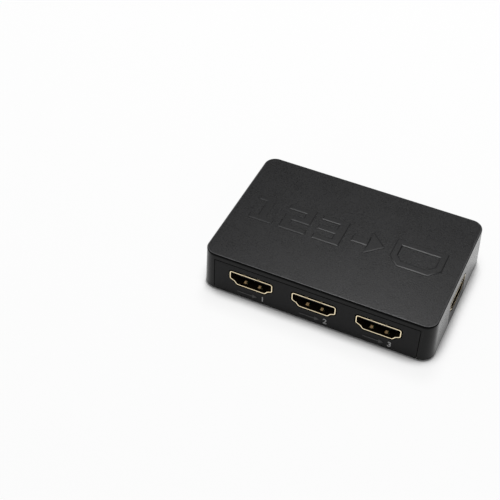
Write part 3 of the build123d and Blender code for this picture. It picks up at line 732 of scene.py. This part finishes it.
def cross_recess():
    """The cutter for the recess: a bar with four arms, narrower at its inner end."""
    pick_nothing()
    bpy.ops.mesh.primitive_cube_add(size=1, location=(0, 0, 0))
    cutter = bpy.context.active_object
    cutter.scale = (CROSS_WIDTH, CROSS_WIDTH, 2 * CROSS_DEPTH)
    bpy.ops.object.transform_apply(location=True, rotation=True, scale=True)
    pick_faces(cutter, lambda face: abs(face.normal.z) < 0.5)
    bpy.ops.mesh.extrude_faces_move(TRANSFORM_OT_shrink_fatten={"value": CROSS_ARM})
    leave()
    pick_edges(cutter, lambda a, b: min(a.z, b.z) > 0)
    bpy.ops.transform.resize(value=(CROSS_TAPER, CROSS_TAPER, 1), center_override=(0, 0, 0))
    leave()
    return cutter


def threaded_rod(length):
    """The screw's shank: a core with a pointed end, and a ridge wound round it."""
    core = start_round(CORE_RADIUS, length - POINT_LENGTH, 24)
    pick_faces(core, end_face(2, length - POINT_LENGTH, 1))
    bpy.ops.mesh.extrude_region_move(TRANSFORM_OT_translate={"value": (0, 0, POINT_LENGTH)})
    bpy.ops.transform.resize(value=(POINT_SHARE, POINT_SHARE, 1), center_override=(0, 0, 0))
    leave()
    pick_nothing()
    bpy.ops.mesh.primitive_circle_add(vertices=3, radius=THREAD_SIZE, location=(0, 0, 0))
    ridge = bpy.context.active_object
    ridge.data.transform(Matrix.Rotation(math.pi / 2, 4, "X") @ Matrix.Rotation(-math.pi / 2, 4, "Z"))
    ridge.data.transform(Matrix.Translation((THREAD_RADIUS - THREAD_SIZE, 0, THREAD_START)))
    wind = ridge.modifiers.new("thread", "SCREW")
    wind.axis = "Z"
    wind.angle = 2 * math.pi
    wind.screw_offset = THREAD_PITCH
    wind.iterations = THREAD_TURNS
    wind.steps = 20
    wind.render_steps = 20
    wind.use_merge_vertices = False
    hold(ridge)
    bpy.ops.object.modifier_apply(modifier="thread")
    bpy.ops.object.mode_set(mode="EDIT")
    bpy.ops.mesh.select_all(action="SELECT")
    bpy.ops.mesh.fill_holes(sides=3)
    leave()
    return joined(core, [ridge])


def pan_head_screw(length):
    """One screw, head down, with the lower side of its head at the origin."""
    head = start_round(HEAD_RADIUS, HEAD_HEIGHT, 48)
    pick_edges(head, end_rim(2, 0))
    bpy.ops.mesh.bevel(offset=HEAD_ROUND, segments=5, profile=0.5, clamp_overlap=False)
    leave()
    cutter = cross_recess()
    cut = head.modifiers.new("recess", "BOOLEAN")
    cut.operation = "DIFFERENCE"
    cut.solver = "EXACT"
    cut.object = cutter
    hold(head)
    bpy.ops.object.modifier_apply(modifier="recess")
    bpy.data.objects.remove(cutter)
    rod = threaded_rod(length)
    rod.data.transform(Matrix.Translation((0, 0, HEAD_HEIGHT)))
    return joined(head, [rod])


low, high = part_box("case_screws")
screw = pan_head_screw(high.z - low.z - HEAD_HEIGHT)
corners = [
    (x, y, low.z)
    for y in (low.y + HEAD_RADIUS, high.y - HEAD_RADIUS)
    for x in (low.x + HEAD_RADIUS, high.x - HEAD_RADIUS)
]
for number, screw in enumerate(copies(screw, corners), 1):
    settle(screw, f"case_screw_{number}", screw_black, "case")
    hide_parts("case_screws")

# Rubber feet: a rounded lower edge, and a ring pressed into the underside
FOOT_ROUND = 0.3 * MM
RING_MARGIN = 0.7 * MM
RING_SLOPE = 0.12 * MM
RING_DEPTH = 0.14 * MM
RING_WIDTH = 0.5 * MM
low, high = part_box("foot_1")
foot = start_round((high.x - low.x) / 2, high.z - low.z, 64)
pick_edges(foot, end_rim(2, 0))
bpy.ops.mesh.bevel(offset=FOOT_ROUND, segments=4, profile=0.5, clamp_overlap=False)
leave()
pick_faces(foot, end_face(2, 0, -1))
bpy.ops.mesh.inset(thickness=RING_MARGIN, depth=0)
bpy.ops.mesh.inset(thickness=RING_SLOPE, depth=-RING_DEPTH)
bpy.ops.mesh.inset(thickness=RING_WIDTH, depth=0)
bpy.ops.mesh.inset(thickness=RING_SLOPE, depth=RING_DEPTH)
leave()
feet = [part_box(f"foot_{number}") for number in (1, 2, 3, 4)]
spots = [((low.x + high.x) / 2, (low.y + high.y) / 2, low.z) for low, high in feet]
for number, foot in enumerate(copies(foot, spots), 1):
    settle(foot, f"rubber_foot_{number}", rubber_black, "case")
    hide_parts(f"foot_{number}")

# Select button: a flange inside the panel, and a cap with a rounded edge and a dish for the finger
FLANGE_DEPTH = 0.8 * MM
CAP_RADIUS = 2.5 * MM
CAP_ROUND = 0.4 * MM
CAP_BAND = 0.25 * MM              # flat ring round the dish
DISH = ((0.25, 0.08), (0.35, 0.08), (0.45, 0.06), (0.45, 0.02))  # millimetres inwards and down
low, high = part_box("select_button")
flange_radius = (high.x - low.x) / 2
button = start_round(flange_radius, FLANGE_DEPTH, 64, (-math.pi / 2, 0, 0))
pick_faces(button, end_face(1, FLANGE_DEPTH, 1))
bpy.ops.mesh.inset(thickness=flange_radius - CAP_RADIUS, depth=0)
cap_length = high.y - low.y - FLANGE_DEPTH
bpy.ops.mesh.extrude_region_move(TRANSFORM_OT_translate={"value": (0, cap_length, 0)})
leave()
pick_edges(button, end_rim(1, high.y - low.y))
bpy.ops.mesh.bevel(offset=CAP_ROUND, segments=5, profile=0.5, clamp_overlap=False)
leave()
pick_faces(button, end_face(1, high.y - low.y, 1))
bpy.ops.mesh.inset(thickness=CAP_BAND, depth=0)
for step, fall in DISH:
    bpy.ops.mesh.inset(thickness=step * MM, depth=-fall * MM)
leave()
button.data.transform(Matrix.Translation(((low.x + high.x) / 2, low.y, (low.z + high.z) / 2)))
settle(button, "select_button_cap", button_black, "button", 32)
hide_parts("select_button")

# Lamps: a flange and a domed body of tinted resin
LAMP_FLANGE = 1.0 * MM
LAMP_RADIUS = 1.5 * MM
LAMP_DOME = 1.4 * MM
low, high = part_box("lamp_1")
flange_radius = (high.x - low.x) / 2
lamp = start_round(flange_radius, LAMP_FLANGE, 48, (-math.pi / 2, 0, 0))
pick_faces(lamp, end_face(1, LAMP_FLANGE, 1))
bpy.ops.mesh.inset(thickness=flange_radius - LAMP_RADIUS, depth=0)
body_length = high.y - low.y - LAMP_FLANGE
bpy.ops.mesh.extrude_region_move(TRANSFORM_OT_translate={"value": (0, body_length, 0)})
leave()
pick_edges(lamp, end_rim(1, high.y - low.y))
bpy.ops.mesh.bevel(offset=LAMP_DOME, segments=8, profile=0.5, clamp_overlap=False)
leave()
lamps = [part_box(f"lamp_{number}") for number in (1, 2, 3)]
spots = [((low.x + high.x) / 2, low.y, (low.z + high.z) / 2) for low, high in lamps]
for number, lamp in enumerate(copies(lamp, spots), 1):
    settle(lamp, f"lamp_{number}_dome", lamp_green, "case", 50)
    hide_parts(f"lamp_{number}")

# Rolled rims of the inputs, raised from the front ring of the first input's shell
RIM_RISE = 0.08 * MM
RIM_ROUND = 0.035 * MM


def front_ring(shell, mouth):
    """The flat ring round a socket's mouth, as a piece of its own, cut from a copy of the shell."""
    copy = shell.copy()
    copy.data = shell.data.copy()
    copy.parent = None
    bpy.context.scene.collection.objects.link(copy)
    for mark in [key for key in copy.keys() if key.startswith("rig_")]:
        del copy[mark]
    hold(copy)
    bpy.ops.object.mode_set(mode="EDIT")
    bpy.ops.mesh.select_all(action="SELECT")
    bpy.ops.mesh.remove_doubles(threshold=0.001 * MM)
    leave()
    pick_faces(copy, lambda face: face.center.y > mouth + 0.001 * MM or face.normal.y > -0.99)
    bpy.ops.mesh.delete(type="FACE")
    leave()
    hold(copy)
    bpy.ops.object.mode_set(mode="EDIT")
    bpy.ops.mesh.select_mode(type="VERT")
    bpy.ops.mesh.select_all(action="SELECT")
    bpy.ops.mesh.remove_doubles(threshold=0.001 * MM)
    bpy.ops.mesh.delete_loose(use_verts=True, use_edges=True, use_faces=False)
    leave()
    return copy


def rolled_rim():
    """Raises the ring and rounds both of its edges."""
    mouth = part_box("input_1_shell")[0].y
    ring = front_ring(nodes["input_1_shell"], mouth)
    pick_faces(ring, lambda face: True)
    bpy.ops.mesh.extrude_region_move(TRANSFORM_OT_translate={"value": (0, -RIM_RISE, 0)})
    leave()
    near = mouth - RIM_RISE / 2
    count = {}
    for face in ring.data.polygons:
        if face.center.y < near and abs(face.normal.y) > 0.9:
            for key in face.edge_keys:
                count[key] = count.get(key, 0) + 1
    edit(ring, "EDGE")
    for edge in ring.data.edges:
        edge.select = count.get(edge.key) == 1
    bpy.ops.object.mode_set(mode="EDIT")
    bpy.ops.mesh.bevel(offset=RIM_ROUND, segments=3, profile=0.5, clamp_overlap=False)
    leave()
    return ring


low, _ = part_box("input_1_shell")
steps = [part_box(f"{socket}_shell")[0] - low for socket in INPUTS]
for socket, rim in zip(INPUTS, copies(rolled_rim(), steps)):
    settle(rim, f"{socket}_rolled_rim", shell_gold[socket], "case", 60)

# Raised numbers under the inputs, each with a small arrow before it
NUMBER_Z = 2.8 * MM
NUMBER_SIZE = 2.9 * MM
NUMBER_X = 4.2 * MM               # from the input's middle
ARROW = (5.2 * MM, 0.35 * MM, 4.6, 1.6 * MM)
ARROW_X = -1.9 * MM
ARROW_RISE = 0.1 * MM
RELIEF = 0.06 * MM                # half the thickness of a number
RELIEF_ROUND = 0.04 * MM


def panel_y(height):
    """The leaning face of the near panel at a height."""
    return -(HALF_WIDTH - (height - BASE_Z) * math.tan(LEAN))


def raised_number(number, size):
    """A number in low relief, flat on the origin."""
    pick_nothing()
    bpy.ops.object.text_add(location=(0, 0, 0))
    figure = bpy.context.active_object
    figure.data.body = str(number)
    figure.data.align_x = "CENTER"
    figure.data.align_y = "CENTER"
    figure.data.size = size
    figure.data.extrude = RELIEF
    figure.data.bevel_depth = RELIEF_ROUND
    figure.data.bevel_resolution = 1
    figure.data.resolution_u = 4
    bpy.ops.object.convert(target="MESH")
    return bpy.context.active_object


for number, socket in enumerate(INPUTS, 1):
    low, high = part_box(f"{socket}_shell")
    spot = ((low.x + high.x) / 2, panel_y(NUMBER_Z), NUMBER_Z)
    figure = raised_number(number, NUMBER_SIZE)
    figure.data.transform(Matrix.Translation((NUMBER_X, 0, 0)))
    arrow = flat_arrow(*ARROW)
    pick_faces(arrow, lambda face: True)
    bpy.ops.mesh.extrude_region_move(TRANSFORM_OT_translate={"value": (0, 0, ARROW_RISE)})
    leave()
    arrow.data.transform(Matrix.Translation((ARROW_X, 0, 0)))
    # the numbers get the painted highlight grey, the arrows the dark grey
    for label, name, grey in ((figure, "number", number_grey), (arrow, "arrow", arrow_grey)):
        label.rotation_euler = (math.pi / 2 - LEAN, 0, 0)
        label.location = spot
        settle(label, f"{socket}_{name}", grey, "case", 40)

# The same numbers under the lamps on the far panel
LAMP_NUMBER_Z = 6.2 * MM
LAMP_NUMBER_SIZE = 2.4 * MM
for number in (1, 2, 3):
    low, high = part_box(f"lamp_{number}")
    figure = raised_number(number, LAMP_NUMBER_SIZE)
    figure.rotation_euler = (math.pi / 2 - LEAN, 0, math.pi)
    figure.location = ((low.x + high.x) / 2, -panel_y(LAMP_NUMBER_Z), LAMP_NUMBER_Z)
    # the same light grey, a painted highlight on the raised number
    settle(figure, f"lamp_{number}_number", number_grey, "case", 40)


# Floor, light and camera

SHADE_REACH = 7 * MM              # how far the box's shade spreads over the paper
SHADE_RANGE = (0.49, 0.82)        # share of open sky over which the paper goes from shaded to white
SKY_LIGHT = 0.35
LENS = 81.326
CAMERA_AT = (77.42 * MM, -246.51 * MM, 266.11 * MM)
AZIMUTH = math.radians(24.212)
ELEVATION = math.radians(45.145)
ROLL = math.radians(1.242)


def paper(name, colour, glow):
    """Paper that shows nearly white to the camera and in reflections, but shaded close to the box."""
    finish = Finish(name)
    kinds = ("Camera", "Glossy", "Transmission")
    path = [finish.node("ShaderNodeLightPath", {}, {}, f"Is {kind} Ray") for kind in kinds]
    seen = path[0] + path[1] + path[2]
    open_sky = finish.node(
        "ShaderNodeAmbientOcclusion", {"samples": 12}, {"Distance": SHADE_REACH}, "AO"
    )
    share = glow * finish.between(open_sky, *SHADE_RANGE) * seen.math("MINIMUM", seen, 1.0)
    sheet = finish.node("ShaderNodeBsdfDiffuse", {}, {"Color": (*colour, 1.0)})
    white = finish.node("ShaderNodeEmission", {}, {"Strength": 1.0})
    both = finish.node("ShaderNodeMixShader", {}, {0: share, 1: sheet, 2: white})
    finish.tree.links.new(both.socket, finish.end.inputs["Surface"])
    return finish.material


# A sheet of white paper on the floor, bent up all round into a low wall
PAPER_RADIUS = 3.2
PAPER_WALL = 1.0
PAPER_BEND = 0.5
floor = start_round(PAPER_RADIUS, PAPER_WALL, 96)
pick_faces(floor, end_face(2, PAPER_WALL, 1))
bpy.ops.mesh.delete(type="FACE")
leave()
pick_edges(floor, end_rim(2, 0))
bpy.ops.mesh.bevel(offset=PAPER_BEND, segments=12, profile=0.5, clamp_overlap=False)
bpy.ops.mesh.select_all(action="SELECT")
bpy.ops.mesh.flip_normals()
leave()
floor.name = "floor"
floor.data.materials.append(paper("floor_paper", (0.9, 0.9, 0.9), 0.88))

scene = bpy.context.scene
world = bpy.data.worlds.new("studio")
scene.world = world
world.use_nodes = True
sky = world.node_tree
sky.nodes.clear()
ambient = sky.nodes.new("ShaderNodeBackground")
ambient.inputs["Color"].default_value = (1.0, 1.0, 1.0, 1.0)
ambient.inputs["Strength"].default_value = SKY_LIGHT
end = sky.nodes.new("ShaderNodeOutputWorld")
sky.links.new(ambient.outputs[0], end.inputs["Surface"])


def softbox(name, place, size, power):
    """A square lamp that looks at the box."""
    light = bpy.data.lights.new(name, "AREA")
    light.shape = "SQUARE"
    light.size = size
    light.energy = power
    stand = bpy.data.objects.new(name, light)
    scene.collection.objects.link(stand)
    stand.location = place
    stand.rotation_euler = (-Vector(place)).to_track_quat("-Z", "Y").to_euler()


softbox("key_softbox", place=(-0.085, 0.31, 0.68), size=0.22, power=3.75)

camera_data = bpy.data.cameras.new("camera")
camera_data.lens = LENS
camera_data.sensor_width = 36.0
camera_data.clip_start = 0.01
camera_data.clip_end = 20.0
camera = bpy.data.objects.new("camera", camera_data)
scene.collection.objects.link(camera)
aim = Matrix.Rotation(AZIMUTH, 4, "Z") @ Matrix.Rotation(math.pi / 2 - ELEVATION, 4, "X")
camera.matrix_world = Matrix.Translation(CAMERA_AT) @ aim @ Matrix.Rotation(ROLL, 4, "Z")
scene.camera = camera
scene.view_settings.view_transform = "Standard"
